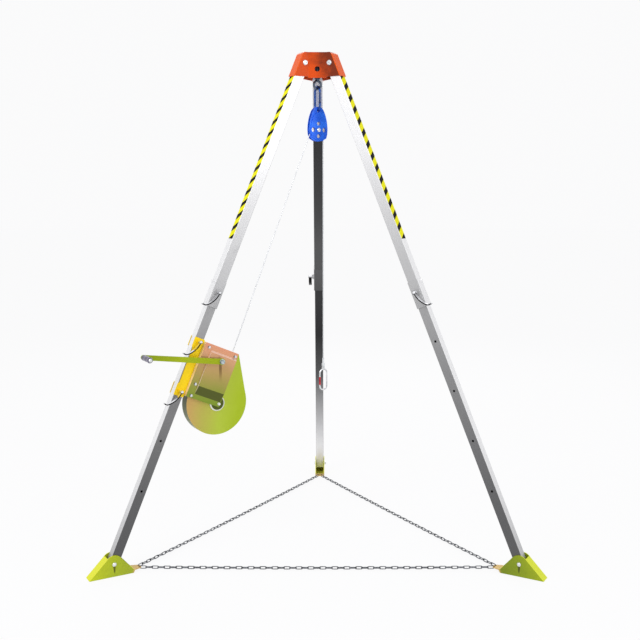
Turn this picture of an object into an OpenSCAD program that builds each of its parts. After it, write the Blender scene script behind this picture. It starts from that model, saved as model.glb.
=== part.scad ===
/* [Legs] */
// length from the head pivot to the foot pin
leg_length = 2400; // [2000:10:2600]
// lean of each leg from upright, in degrees
leg_tilt = 23.5; // [20:0.5:27]
// outside width of the square upper tube
upper_width = 48; // [40:1:52]
// wall of the upper tube
upper_wall = 2; // [1.5:0.25:3]
// length of the upper tube below the pivot
upper_length = 1190; // [1000:10:1300]
// wall of the lower tube
lower_wall = 2.5; // [1.5:0.25:4]
// clearance on each side between the two tubes
tube_gap = 0.4; // [0.3:0.05:0.8]
// length of lower tube held inside the upper tube
tube_overlap = 240; // [150:10:400]
// spacing of the adjusting holes
hole_pitch = 235; // [200:5:260]
// diameter of the adjusting holes
hole_size = 11; // [10.5:0.5:13]

/* [Head] */
// distance of each leg pivot from the centre line
pivot_radius = 80; // [76:1:90]
// diameter of the leg pivot bolts
bolt_size = 12; // [10:1:14]
// height of the head above the leg pivots
head_above = 48; // [40:1:56]
// depth of the leg channels below the pivots
head_below = 61; // [50:1:75]
// thickness of the head walls
head_wall = 3.5; // [3:0.5:5]
// side clearance between tube and channel
channel_gap = 0.5; // [0.3:0.1:1]
// diameter of the hole in each wide face
face_hole = 24; // [16:1:30]

/* [Hanging Gear] */
// bar diameter of the anchor eye
eye_bar = 11; // [9:0.5:13]
// bar diameter of the carabiner
carabiner_bar = 10; // [8:0.5:11]
// outside width of the carabiner
carabiner_width = 56; // [50:1:66]
// outside height of the carabiner
carabiner_height = 118; // [105:1:135]
// bottom radius of the pulley groove
groove_radius = 27.7; // [24:0.1:32]
// outside half width of the pulley cheeks
cheek_half = 48; // [46:1:54]
// thickness of a pulley cheek
cheek_thick = 4; // [3:0.5:5]

/* [Rope and Hook] */
// diameter of the wire rope
rope_size = 4.8; // [4:0.1:4.8]
// height of the rope socket above the floor
socket_height = 838; // [700:1:1100]
// bar diameter of the hook
hook_bar = 7; // [6:0.5:8]
// outside width of the hook
hook_width = 45; // [42:1:56]
// outside height of the hook
hook_height = 108; // [98:1:130]

/* [Locks] */
// diameter of the spring pins
pin_size = 10; // [8:0.5:10]
// width of the curved pin handles
handle_width = 16; // [12:1:18]
// thickness of the curved pin handles
handle_thick = 5; // [3:0.5:6]

/* [Feet] */
// height of the foot pin above the floor
foot_pin_z = 56; // [50:1:66]
// thickness of the folded foot plate
foot_plate = 4; // [3:0.5:5]
// reach of the foot's outer point beyond the pin
foot_toe = 112; // [95:1:125]
// reach of the foot's cheeks inwards from the pin
foot_heel = 92; // [80:1:105]
// radius of the rounded top of the foot
foot_crown = 40; // [37:1:44]
// diameter of the foot pin
foot_pin_size = 12; // [10:1:14]

/* [Chain] */
// wire diameter of the chain links
chain_wire = 4; // [3:0.25:4.25]
// pitch of the chain links
chain_pitch = 27.5; // [25:0.5:34]
// clear width inside a chain link
chain_clear = 7; // [6.5:0.25:9]
// sag of the chain in the middle of a run
chain_sag = 4; // [0:0.5:4.5]

/* [Winch] */
// radius of the round drum housing
housing_radius = 146; // [140:1:155]
// depth of the drum housing
housing_depth = 55; // [52:1:62]
// wall of the housing and gear cover
housing_wall = 3; // [2:0.5:3]
// module of the gear teeth
gear_module = 4; // [3.9:0.05:4.1]
// teeth of the crank pinion
crank_teeth = 16; // [14:1:16]
// teeth of the gear on the lay shaft
lay_teeth = 26; // [26:1:28]
// teeth of the pinion on the lay shaft
lay_pinion_teeth = 20; // [18:1:20]
// teeth of the drum gear
drum_teeth = 43; // [43:1:45]
// backlash between meshed teeth
backlash = 0.5; // [0.3:0.05:0.8]
// rope radius on the drum
drum_rope_radius = 70; // [60:1:76]
// rope turns in the outer layer
drum_turns = 4; // [3:1:4]
// length of the crank arm
crank_length = 366; // [300:1:400]
// width of the crank arm
crank_width = 22; // [18:1:28]
// diameter of the crank grip
grip_size = 25; // [22:1:32]
// length of the crank grip
grip_length = 80; // [70:1:110]

/* [Hidden] */
$fn = 48;
azimuth = [210, 330, 90];
lock_side = [1, -1, 1];
lower_width = upper_width - 2 * upper_wall - 2 * tube_gap;
half_up = upper_width / 2;
half_low = lower_width / 2;
pivot_z = foot_pin_z + leg_length * cos(leg_tilt);
foot_radius = pivot_radius + leg_length * sin(leg_tilt);
lock_at = upper_length - 65;
collar_top = upper_length - 120;
collar_half = half_up + 2;
lower_top = upper_length - tube_overlap;
cheek_in = half_up + channel_gap;
cheek_out = cheek_in + head_wall;
facet_out = 56;
facet_in = facet_out - head_wall - 0.5;
tube_hole = bolt_size + 0.1;
plate_z = -10;
plate_t = 7;

// hanging gear heights, from the head down
eye_radius = 13 + eye_bar / 2;
eye_z = pivot_z - 93;
kar_r = (carabiner_width - carabiner_bar) / 2;
kar_top = eye_z - eye_radius + eye_bar / 2 + carabiner_bar / 2 + 0.3;
kar_low = kar_top - carabiner_height + carabiner_bar;
sheave_z = kar_low - 90;
cheek_y = 7;
hang_rise = kar_r - sqrt(kar_r * kar_r - pow(cheek_y + cheek_thick, 2));
hang_hole = carabiner_bar / 2 + 4;
hang_z = kar_low + hang_rise + carabiner_bar / 2 + 0.3 - hang_hole;
rope_r = rope_size / 2;
sheave_pitch = groove_radius + 0.3 + rope_r;
sheave_rim = groove_radius + 8.3;

// winch frame: origin on the upper winch pin, X outwards, Z up the leg
winch_at = lock_at + hole_pitch;
crank_c = [-117, -48];
drum_c = [-190, -232];
cd1 = (crank_teeth + lay_teeth) * gear_module / 2;
cd2 = (lay_pinion_teeth + drum_teeth) * gear_module / 2;
span = norm(drum_c - crank_c);
span_u = (drum_c - crank_c) / span;
lay_d = (cd1 * cd1 - cd2 * cd2 + span * span) / (2 * span);
lay_h = sqrt(max(0, cd1 * cd1 - lay_d * lay_d));
lay_c = crank_c + lay_d * span_u + lay_h * [-span_u[1], span_u[0]];
cheek_plate = 3;
front_y = half_low + cheek_plate + 0.6;
rear_y = front_y - housing_depth;
cover_y = 46;
panel_y = 57;
cover_outer = -197;
cover_inner = -half_low - cheek_plate - 0.9;
cover_base = -246;
cover_top = 10;
cover_side = 36;
cover_head = 26;
arm_y = 70;
corner = [-208, 9];
shoulder = [-32, -200];
roller_r = 8;
roller_c = [-197.4, -8];
flange_r = 98;
gear_y = 6.5;
drum_rear = rear_y + housing_wall + 1;

// leg-plane point (outwards, up the leg) of the winch frame as radius and height
function plane(p) = let (o = p[0], a = winch_at - p[1])
    [pivot_radius + o * cos(leg_tilt) + a * sin(leg_tilt),
     pivot_z + o * sin(leg_tilt) - a * cos(leg_tilt)];
// heading of a rope run that leaves circle a and meets circle b
function heading(a, sa, b, sb) = let (d = b - a)
    atan2(d[1], d[0]) - asin((sb - sa) / norm(d));
function touch(c, s, h) = c - s * [-sin(h), cos(h)];
sheave_p = [0, sheave_z];
roller_p = plane(roller_c);
drum_p = plane(drum_c);
s_roller = -(roller_r + 0.3 + rope_r);
lead_h = heading(sheave_p, -sheave_pitch, roller_p, s_roller);
tail_h = heading(roller_p, s_roller, drum_p, drum_rope_radius);
lead_a = touch(sheave_p, -sheave_pitch, lead_h);
lead_b = touch(roller_p, s_roller, lead_h);
tail_a = touch(roller_p, s_roller, tail_h);
tail_b = touch(drum_p, drum_rope_radius, tail_h);

// chain eyes on the foot tabs
eye_in = foot_heel + 26;
chain_z = 14;
link_r = (chain_clear + chain_wire) / 2;
link_end = (chain_pitch + chain_wire) / 2;
function chain_eye(i, s) = let (r = foot_radius - eye_in, a = azimuth[i])
    [r * cos(a) - s * 8 * sin(a), r * sin(a) + s * 8 * cos(a), chain_z];

// frame of a leg: X out of its outer face, Y across it, Z up along it
module at_leg(i) {
    rotate([0, 0, azimuth[i]])
        translate([pivot_radius, 0, pivot_z])
            rotate([0, -leg_tilt, 0])
                children();
}

// upright frame of a leg's foot, origin under the foot pin
module at_foot(i) {
    rotate([0, 0, azimuth[i]])
        translate([foot_radius, 0, 0])
            children();
}

// frame of the hanging gear: X towards the winch leg, Y towards the viewer
module at_hang(z) {
    rotate([0, 0, azimuth[0]])
        translate([0, 0, z])
            children();
}

module at_winch(p = [0, 0]) {
    at_leg(0)
        translate([p[0], 0, p[1] - winch_at])
            children();
}

// cylinder along Y from y0 to y1
module rod_y(d, y0, y1) {
    translate([0, y0, 0])
        rotate([-90, 0, 0])
            cylinder(d = d, h = y1 - y0);
}

// extrusion of an XZ outline from y0 to y1
module slab_y(y0, y1) {
    translate([0, y1, 0])
        rotate([90, 0, 0])
            linear_extrude(y1 - y0)
                children();
}

// solid turned about the Y axis from a profile of radius and y
module turned_y() {
    rotate([-90, 0, 0])
        rotate_extrude($fn = 72)
            children();
}

// arc of a bar in the XZ plane, from angle a0 through da
module arc_bar(r, a0, da, d) {
    rotate([90, 0, 0])
        rotate([0, 0, a0])
            rotate_extrude(angle = da, $fn = 72)
                translate([r, 0])
                    circle(d = d, $fn = 24);
}

module round_square(s, r) {
    square([s - 2 * r, s], center = true);
    square([s, s - 2 * r], center = true);
    for (a = [45, 135, 225, 315])
        rotate(a)
            translate([(s / 2 - r) * sqrt(2), 0])
                circle(r = r);
}

module square_tube(s, wall, r) {
    difference() {
        round_square(s, r);
        round_square(s - 2 * wall, max(0.5, r - wall / 2));
    }
}

module hexagon_y(af, y0, y1) {
    translate([0, y0, 0])
        rotate([-90, 0, 0])
            cylinder(d = af / cos(30), h = y1 - y0, $fn = 6);
}

// gear outline: involute flanks at four radii, thinned by the backlash
function inv(a) = tan(a) * 180 / PI - a;
function flank(z, r) = let (rp = z * gear_module / 2, rb = rp * cos(25),
    a = acos(min(1, rb / max(r, rb))))
    90 / z - backlash / 4 / rp * 180 / PI + inv(25) - inv(a);
module gear_outline(z, phase) {
    rp = z * gear_module / 2;
    radii = [for (k = [0:3]) rp + gear_module * (-0.7 + k * 1.65 / 3)];
    root = rp - 1.25 * gear_module;
    polygon([
        for (t = [0:z - 1])
            let (c = phase + t * 360 / z)
                for (k = [0:9])
                    let (up = k < 5, n = up ? k : 9 - k,
                        r = n == 0 ? root : radii[n - 1],
                        h = n == 0 ? flank(z, radii[0]) + 0.6 : flank(z, r),
                        a = c + (up ? -h : h))
                            r * [cos(a), sin(a)]
    ]);
}

function tri(i, r, w) = let (a = azimuth[i])
    [r * cos(a) - w * sin(a), r * sin(a) + w * cos(a)];
function six(f, w) = let (r = 2 * (f - w * cos(30)))
    [for (i = [0, 1, 2]) for (s = [-1, 1]) tri(i, r, s * w)];
function slope(x, z) = pivot_radius + (x - z * sin(leg_tilt)) / cos(leg_tilt);

module head_shell() {
    x_in = half_up + 0.4;
    x_out = x_in + head_wall;
    low = -head_below;
    top = head_above;
    color("orangered")
        translate([0, 0, pivot_z])
            difference() {
                union() {
                    translate([0, 0, low - 6])
                        linear_extrude(top - low + 6)
                            polygon(six(facet_out, cheek_out - 0.05));
                    for (a = azimuth)
                        rotate([0, 0, a])
                            slab_y(-cheek_out, cheek_out)
                                polygon([
                                    [0, top], [slope(x_out, top) - 8, top],
                                    [slope(x_out, top - 7), top - 7],
                                    [slope(x_out, low), low], [0, low]
                                ]);
                }
                difference() {
                    union() {
                        translate([0, 0, low - 8])
                            linear_extrude(top - low + 3)
                                polygon(six(facet_in, cheek_in - 0.05));
                        for (a = azimuth)
                            rotate([0, 0, a])
                                slab_y(-cheek_in, cheek_in)
                                    polygon([
                                        [0, top - 5], [slope(x_in, top - 5) - 6, top - 5],
                                        [slope(x_in, top - 11), top - 11],
                                        [slope(x_in, low - 8), low - 8], [0, low - 8]
                                    ]);
                    }
                    translate([0, 0, plate_z])
                        difference() {
                            linear_extrude(plate_t)
                                polygon(six(facet_in + 1, 33.5));
                            translate([0, 0, -1])
                                cylinder(d = 14.1, h = 10);
                        }
                }
                for (a = azimuth) {
                    rotate([0, 0, a])
                        translate([pivot_radius, 0, 0])
                            rod_y(tube_hole, -cheek_out - 1, cheek_out + 1);
                    rotate([0, 0, a + 60])
                        translate([facet_in - 5, 0, -27])
                            rotate([0, 90, 0])
                                cylinder(d = face_hole, h = 20);
                }
            }
}

module hinge_bolts() {
    color("gainsboro")
        for (i = [0, 1, 2])
            at_leg(i)
                scale([1, lock_side[i], 1])
                    difference() {
                        union() {
                            rod_y(bolt_size, -cheek_out - 12, cheek_out + 3);
                            turned_y()
                                polygon([
                                    [0, cheek_out + 0.1], [12, cheek_out + 0.1],
                                    [12, cheek_out + 4], [9, cheek_out + 7.5],
                                    [0, cheek_out + 7.5]
                                ]);
                            hexagon_y(19, -cheek_out - 10, -cheek_out - 0.1);
                        }
                        hexagon_y(8, cheek_out + 4, cheek_out + 9);
                    }
}

module anchor_eye() {
    color("slategray")
        at_hang(0) {
            translate([0, 0, eye_z])
                arc_bar(eye_radius, 0, 360, eye_bar);
            shank_z = eye_z + eye_radius;
            translate([0, 0, shank_z])
                cylinder(d = 14, h = pivot_z + plate_z + plate_t + 16 - shank_z);
            translate([0, 0, shank_z + eye_bar / 2 - 2])
                cylinder(d1 = 18, d2 = 26, h = 5);
            translate([0, 0, shank_z + eye_bar / 2 + 3])
                cylinder(d = 26, h = pivot_z + plate_z - 0.1 - shank_z - eye_bar / 2 - 3);
            translate([0, 0, pivot_z + plate_z + plate_t + 0.1])
                cylinder(d = 22 / cos(30), h = 12, $fn = 6);
        }
}

// gate side is towards the viewer
gate_foot = kar_low + kar_r + 12;
gate_head = kar_top - kar_r - 4;
module carabiner_body() {
    color("steelblue")
        at_hang(0) {
            difference() {
                union() {
                    rotate([0, 0, 90]) {
                        translate([0, 0, kar_top - kar_r])
                            arc_bar(kar_r, 0, 180, carabiner_bar);
                        translate([0, 0, kar_low + kar_r])
                            arc_bar(kar_r, 180, 180, carabiner_bar);
                    }
                    translate([0, -kar_r, kar_low + kar_r])
                        cylinder(d = carabiner_bar, h = kar_top - kar_low - 2 * kar_r);
                    translate([0, kar_r, gate_head])
                        cylinder(d = carabiner_bar, h = kar_top - kar_r - gate_head);
                    translate([0, kar_r, kar_low + kar_r])
                        cylinder(d = carabiner_bar, h = gate_foot - kar_low - kar_r - 6);
                    translate([-2, kar_r - 4, kar_low + kar_r + 2])
                        cube([4, 8, gate_foot - kar_low - kar_r + 1.5]);
                }
            }
            translate([0, kar_r, gate_foot])
                rotate([0, 90, 0])
                    cylinder(d = 3, h = carabiner_bar - 2, center = true, $fn = 24);
        }
}

module carabiner_gate() {
    color("lightsteelblue")
        at_hang(0)
            translate([0, kar_r, 0])
                difference() {
                    union() {
                        translate([0, 0, gate_foot])
                            cylinder(d = carabiner_bar - 1, h = gate_head - 0.6 - gate_foot);
                        translate([0, 0, gate_foot])
                            rotate([0, 90, 0])
                                cylinder(d = 9, h = carabiner_bar - 3, center = true, $fn = 36);
                    }
                    translate([-2.4, -10, gate_foot - 10])
                        cube([4.8, 20, 17]);
                    translate([0, 0, gate_foot])
                        rotate([0, 90, 0])
                            cylinder(d = 3.1, h = 20, center = true, $fn = 24);
                }
}

// egg-shaped cheek: widest at the axle, drawn in to the hanging hole
cheek_top = hang_z + hang_hole + 7 - sheave_z;
function egg_x(t, h) = h * (0.30 + 0.70 * pow(cos(90 * t), 0.62));
function egg(h, top, low) = concat(
    [for (k = [0:10]) [egg_x(k / 10, h), top * k / 10 * (1 - 0.02 * k / 10)]],
    [[h * 0.18, top], [-h * 0.18, top]],
    [for (k = [10:-1:0]) [-egg_x(k / 10, h), top * k / 10 * (1 - 0.02 * k / 10)]],
    [[-h * 0.97, -low * 0.35], [-h * 0.86, -low * 0.72], [-h * 0.45, -low * 0.93], [0, -low],
     [h * 0.45, -low * 0.93], [h * 0.86, -low * 0.72], [h * 0.97, -low * 0.35]]);

module cheek(s) {
    at_hang(sheave_z)
        scale([1, s, 1])
            difference() {
                union() {
                    slab_y(cheek_y, cheek_y + cheek_thick)
                        polygon(egg(cheek_half, cheek_top, 53));
                    slab_y(cheek_y + cheek_thick - 1, cheek_y + cheek_thick + 2.5)
                        polygon(egg(cheek_half - 6, cheek_top - 26, 46));
                    translate([0, 0, hang_z - sheave_z - hang_hole - 12])
                        rod_y(12, 0.05, cheek_y + 1);
                }
                rod_y(bolt_size + 0.04, 0, 30);
                translate([0, 0, hang_z - sheave_z])
                    rod_y(2 * hang_hole, -1, 30);
                for (k = [0:3])
                    rotate([0, 90 * k, 0])
                        translate([0, 0, 29])
                            scale([k % 2 == 0 ? 1 : 1.15, 1, 1])
                                rod_y(19, cheek_y - 1, 30);
            }
}

module pulley_front() {
    color("royalblue") cheek(1);
}

module pulley_rear() {
    color("royalblue") cheek(-1);
}

module pulley_axle() {
    e = cheek_y + cheek_thick + 2.5;
    color("gainsboro")
        at_hang(sheave_z) {
            rod_y(bolt_size, -e - 2, e + 2);
            for (s = [-1, 1])
                scale([1, s, 1])
                    turned_y()
                        polygon([[0, e], [9, e], [9, e + 2], [6, e + 4.5], [0, e + 4.5]]);
        }
}

module sheave() {
    w = cheek_y - 1;
    color("silver")
        at_hang(sheave_z)
            difference() {
                turned_y()
                    polygon([
                        [0, -w], [sheave_rim, -w], [sheave_rim, -w + 1.2],
                        [groove_radius + 1.6, -rope_r - 0.3], [groove_radius, -1.2],
                        [groove_radius, 1.2], [groove_radius + 1.6, rope_r + 0.3],
                        [sheave_rim, w - 1.2], [sheave_rim, w], [0, w]
                    ]);
                rod_y(bolt_size + 0.12, -20, 20);
            }
}

// straight rope in the leg plane between two points of radius and height
module rope_run(a, b) {
    d = b - a;
    translate([a[0], 0, a[1]])
        rotate([0, 90 - atan2(d[1], d[0]), 0])
            cylinder(d = rope_size, h = norm(d), $fn = 24);
}

module rope_bend() {
    a0 = lead_h + 90;
    color("lightgray")
        at_hang(sheave_z)
            arc_bar(sheave_pitch, a0, 180 - a0, rope_size);
}

// two runs of the lead, with a rounded knee where they bend over the roller
module rope_lead() {
    reach = -s_roller * tan((lead_h - tail_h) / 2);
    lead_way = [cos(lead_h), sin(lead_h)];
    tail_way = [cos(tail_h), sin(tail_h)];
    knee = lead_b + reach * lead_way;
    color("lightgray")
        at_hang(0) {
            rope_run(lead_a + 0.1 * lead_way, knee);
            rope_run(knee, tail_b - 0.1 * tail_way);
            translate([knee[0], 0, knee[1]])
                sphere(rope_r + 0.25);
        }
}

module rope_fall() {
    color("lightgray")
        at_hang(socket_height + 24)
            translate([-sheave_pitch, 0, 0])
                cylinder(d = rope_size, h = sheave_z - socket_height - 24, $fn = 24);
}

module rope_socket() {
    color("silver")
        at_hang(socket_height)
            translate([-sheave_pitch, 0, 0])
                difference() {
                    union() {
                        cylinder(d = 15, h = 11);
                        translate([0, 0, 11])
                            cylinder(d1 = 15, d2 = 9, h = 3);
                        translate([0, 0, 13])
                            cylinder(d = 9, h = 25);
                    }
                    translate([0, 0, 24])
                        cylinder(d = rope_size, h = 20, $fn = 24);
                    translate([0, 0, -1])
                        cylinder(d = 6.1, h = 5);
                    translate([0, 0, 3])
                        cylinder(d = 10.2, h = 6);
                }
}

// snap hook with its gate on the side towards the winch leg
hook_r = (hook_width - hook_bar) / 2;
hook_top = socket_height - 14;
hook_top_c = hook_top - hook_bar / 2 - hook_r;
hook_low_c = hook_top - hook_height + hook_bar / 2 + hook_r;
latch_z = hook_low_c + 8;
nose_z = hook_top_c - 18;
module hook_body() {
    color("whitesmoke")
        at_hang(0)
            translate([-sheave_pitch, 0, 0]) {
                translate([0, 0, hook_top_c])
                    arc_bar(hook_r, 0, 180, hook_bar);
                translate([0, 0, hook_low_c])
                    arc_bar(hook_r, 180, 180, hook_bar);
                translate([-hook_r, 0, hook_low_c])
                    cylinder(d = hook_bar, h = hook_top_c - hook_low_c, $fn = 24);
                translate([hook_r, 0, nose_z])
                    cylinder(d = hook_bar, h = hook_top_c - nose_z, $fn = 24);
                translate([hook_r, 0, hook_low_c])
                    cylinder(d = hook_bar, h = latch_z - 5 - hook_low_c, $fn = 24);
                translate([hook_r - 3, -1.25, hook_low_c + 1])
                    cube([6, 2.5, latch_z + 2.5 - hook_low_c - 1]);
                translate([hook_r, 0, latch_z])
                    rod_y(2.5, -3.2, 3.2);
                translate([0, 0, hook_top - hook_bar / 2])
                    cylinder(d = 14, h = hook_bar / 2 + 12);
                translate([0, 0, hook_top + 10])
                    cylinder(d = 6, h = 9);
                translate([0, 0, hook_top + 17.4])
                    cylinder(d = 10, h = 5.2);
            }
}

module hook_gate() {
    color("crimson")
        at_hang(0)
            translate([hook_r - sheave_pitch, 0, latch_z])
                difference() {
                    union() {
                        cylinder(d = hook_bar + 1.5, h = nose_z - 0.6 - latch_z);
                        rod_y(6.6, -3.4, 3.4);
                    }
                    translate([-8, -1.6, -8])
                        cube([16, 3.2, 13]);
                    rod_y(2.6, -10, 10);
                }
}

// the tube's end in the head is bevelled, so that it turns clear of the channel
module upper_tube(i) {
    end_z = sqrt(half_up * half_up - pow(half_up - 6, 2)) - 0.1;
    color("silver")
        at_leg(i)
            difference() {
                intersection() {
                    translate([0, 0, -upper_length])
                        linear_extrude(upper_length + half_up)
                            square_tube(upper_width, upper_wall, 3);
                    slab_y(-upper_width, upper_width)
                        polygon([
                            [-half_up - 1, -upper_length - 1], [half_up + 1, -upper_length - 1],
                            [half_up + 1, 0], [half_up - 6, end_z],
                            [6 - half_up, end_z], [-half_up - 1, 0]
                        ]);
                }
                rod_y(tube_hole, -half_up - 1, half_up + 1);
                translate([0, 0, -lock_at])
                    scale([1, lock_side[i], 1])
                        rod_y(pin_size + 0.1, 0, half_up + 1);
            }
}

// sleeve on the end of the upper tube, with the boss of the spring pin
module collar(i) {
    bore = upper_width + 0.1;
    low = upper_length + 6;
    color("lightgray")
        at_leg(i) {
            difference() {
                union() {
                    translate([0, 0, -low])
                        linear_extrude(low - collar_top)
                            round_square(2 * collar_half, 4);
                    translate([0, 0, -lock_at])
                        scale([1, lock_side[i], 1]) {
                            rod_y(26, collar_half - 2, collar_half + 6);
                            rod_y(20, collar_half + 5, collar_half + 11);
                        }
                }
                translate([0, 0, -upper_length])
                    linear_extrude(upper_length)
                        round_square(bore, 3);
                translate([0, 0, -low - 1])
                    linear_extrude(low)
                        round_square(lower_width + 0.7, 2.5);
                translate([0, 0, -lock_at])
                    scale([1, lock_side[i], 1])
                        rod_y(pin_size + 0.1, 0, collar_half + 20);
            }
            translate([collar_half - 0.5, 0, -collar_top - 10])
                rotate([0, 90, 0]) {
                    cylinder(d = 9, h = 7);
                    translate([0, 0, 7])
                        cylinder(d1 = 12, d2 = 9, h = 5);
                }
        }
}

// curved strip handle: a long bend and a curled tip, as offset arcs
bend_r = 95;
curl_r = 19;
bend_c = bend_r * [cos(4), sin(4)];
curl_c = bend_c + (bend_r - curl_r) * [cos(-126), sin(-126)];
function strip_edge(o) = concat(
    [for (k = [0:12]) let (a = -176 + 50 * k / 12) bend_c + (bend_r + o) * [cos(a), sin(a)]],
    [for (k = [1:8]) let (a = -126 + 66 * k / 8) curl_c + (curl_r + o) * [cos(a), sin(a)]]);
function backwards(l) = [for (k = [len(l) - 1:-1:0]) l[k]];

module pull_pin(nose, seat) {
    y = seat + 1;
    turned_y()
        polygon([
            [0, nose], [pin_size / 2 - 2, nose], [pin_size / 2, nose + 2],
            [pin_size / 2, y], [pin_size / 2 + 2.5, y], [pin_size / 2 + 2.5, y + handle_width],
            [pin_size / 2 - 1, y + handle_width + 2], [0, y + handle_width + 2]
        ]);
    slab_y(y, y + handle_width)
        polygon(concat(strip_edge(handle_thick / 2), backwards(strip_edge(-handle_thick / 2))));
}

module lock_pin(i) {
    color("gainsboro")
        at_leg(i)
            translate([0, 0, -lock_at])
                scale([1, lock_side[i], 1])
                    pull_pin(half_low + 0.4, collar_half + 11);
}

module lower_tube(i) {
    ends = leg_length + 16;
    color("gray")
        at_leg(i)
            difference() {
                translate([0, 0, -ends])
                    linear_extrude(ends - lower_top)
                        square_tube(lower_width, lower_wall, 2.5);
                for (k = [0:4])
                    translate([0, 0, -lock_at - k * hole_pitch])
                        rod_y(hole_size, -half_low - 1, half_low + 1);
                translate([0, 0, -leg_length])
                    rod_y(foot_pin_size, -half_low - 1, half_low + 1);
            }
}

module foot_pin(i) {
    e = half_low + 1 + foot_plate;
    color("whitesmoke")
        at_leg(i)
            translate([0, 0, -leg_length])
                scale([1, lock_side[i], 1]) {
                    rod_y(foot_pin_size, -e - 10, e + 2);
                    turned_y()
                        polygon([[0, e + 0.3], [10, e + 0.3], [9, e + 4], [5.5, e + 7], [0, e + 7.6]]);
                    hexagon_y(18, -e - 8, -e - 0.3);
                }
}

// folded plate: two cheeks, a sloping outer web, a sole and a tapered chain tab
module foot(i) {
    in_y = half_low + 1;
    out_y = in_y + foot_plate;
    toe = [foot_toe, 0];
    r = foot_crown - 0.4;
    d = norm([foot_toe, foot_pin_z]);
    h = 180 - atan2(foot_pin_z, foot_toe) - asin(r / d);
    run = sqrt(d * d - r * r);
    top = toe + run * [cos(h), sin(h)];
    side = foot_plate * [cos(h + 90), sin(h + 90)];
    dh = norm([foot_heel, foot_pin_z - 10]);
    hh = atan2(foot_pin_z - 10, foot_heel) + asin(r / dh);
    heel_run = sqrt(dh * dh - r * r);
    back = [-foot_heel, 10] + heel_run * [cos(hh), sin(hh)];
    color("yellowgreen")
        at_foot(i)
            difference() {
                union() {
                    for (s = [-1, 1])
                        scale([1, s, 1]) {
                            slab_y(in_y, out_y)
                                polygon([
                                    toe, top, [0, foot_pin_z], back,
                                    [-foot_heel, 10], [-foot_heel + 6, 0]
                                ]);
                            translate([0, 0, foot_pin_z])
                                rod_y(2 * foot_crown, in_y, out_y);
                        }
                    slab_y(-out_y, out_y)
                        polygon([toe, top, top + side, toe - [foot_plate / sin(h), 0]]);
                    translate([-foot_heel + 6, -out_y, 0])
                        cube([foot_heel + foot_toe - foot_plate - 7, 2 * out_y, foot_plate]);
                    translate([0, 0, chain_z - 2])
                        linear_extrude(4)
                            polygon([
                                [-foot_heel + 12, -out_y], [-foot_heel + 12, out_y],
                                [-foot_heel, out_y], [-eye_in - 2, 17], [-eye_in - 8, 11],
                                [-eye_in - 8, -11], [-eye_in - 2, -17], [-foot_heel, -out_y]
                            ]);
                    translate([-foot_heel + 6, -in_y - 1, foot_plate - 1])
                        cube([4, 2 * in_y + 2, chain_z - foot_plate + 1]);
                }
                translate([0, 0, foot_pin_z])
                    rod_y(foot_pin_size + 0.1, -out_y - 1, out_y + 1);
                for (s = [-1, 1])
                    translate([-eye_in, s * 8, 0])
                        cylinder(d = chain_wire + 4.5, h = 60, $fn = 36);
            }
}

// one oval chain link along X
module link() {
    flat = link_end - link_r;
    for (s = [-1, 1]) {
        translate([s * flat, 0, 0])
            rotate([0, 0, s > 0 ? -90 : 90])
                rotate_extrude(angle = 180)
                    translate([link_r, 0])
                        circle(d = chain_wire, $fn = 24);
        translate([-flat, s * link_r, 0])
            rotate([0, 90, 0])
                cylinder(d = chain_wire, h = 2 * flat, $fn = 24);
    }
}

// links of a run from foot i to foot j: the half that hangs on foot i
module chain_half(i, j, si, sj) {
    a = chain_eye(i, si);
    b = chain_eye(j, sj);
    run = norm(b - a);
    pull = 1.6;
    free = run - 2 * link_end - 2 * pull;
    count = 2 * ceil(free / 2 / (chain_pitch - 0.12)) + 1;
    step = free / (count - 1);
    last = i < j ? (count - 1) / 2 : (count - 3) / 2;
    turn = atan2(b[1] - a[1], b[0] - a[0]);
    color("dimgray")
        translate(a)
            rotate([0, 0, turn])
                for (k = [0:last])
                    let (x = link_end + pull + k * step, u = 2 * x / run - 1)
                        translate([x, 0, -chain_sag * (1 - u * u)])
                            rotate([0, -atan(8 * chain_sag * (x / run - 0.5) / run), 0])
                                rotate([k % 2 == 0 ? 90 : 0, 0, 0])
                                    link();
}

// U-shaped clamp plate on the lower tube, with the bosses of the two winch pins
module winch_bracket() {
    in_y = half_low + 0.4;
    out_y = half_low + cheek_plate + 0.4;
    x0 = -half_low - 0.4;
    pin_z = [0, -hole_pitch];
    color("gold")
        at_winch()
            difference() {
                union() {
                    for (s = [-1, 1])
                        scale([1, s, 1])
                            slab_y(in_y, out_y)
                                polygon([
                                    [x0 - 3, 16], [half_low + 2, 16], [half_low + 2, -30],
                                    [half_low - 4, -36], [half_low - 4, -hole_pitch + 36],
                                    [half_low + 2, -hole_pitch + 30],
                                    [half_low + 2, -hole_pitch - 22], [x0 - 3, -hole_pitch - 22]
                                ]);
                    translate([x0 - 3, -out_y, -hole_pitch - 22])
                        cube([3, 2 * out_y, hole_pitch + 38]);
                    translate([-32, rear_y + 6, -hole_pitch + 40])
                        cube([x0 - 2 + 32, half_low - 5.8 - rear_y, hole_pitch - 42]);
                    for (z = pin_z)
                        translate([0, 0, z]) {
                            rod_y(26, out_y - 2, out_y + 5);
                            rod_y(20, out_y + 4, out_y + 10);
                        }
                }
                for (z = pin_z)
                    translate([0, 0, z])
                        rod_y(pin_size + 0.1, 0, out_y + 20);
                translate([-33, rear_y + 9, -hole_pitch + 43])
                    cube([30 + x0, half_low - 11.8 - rear_y, hole_pitch - 48]);
            }
}

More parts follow.
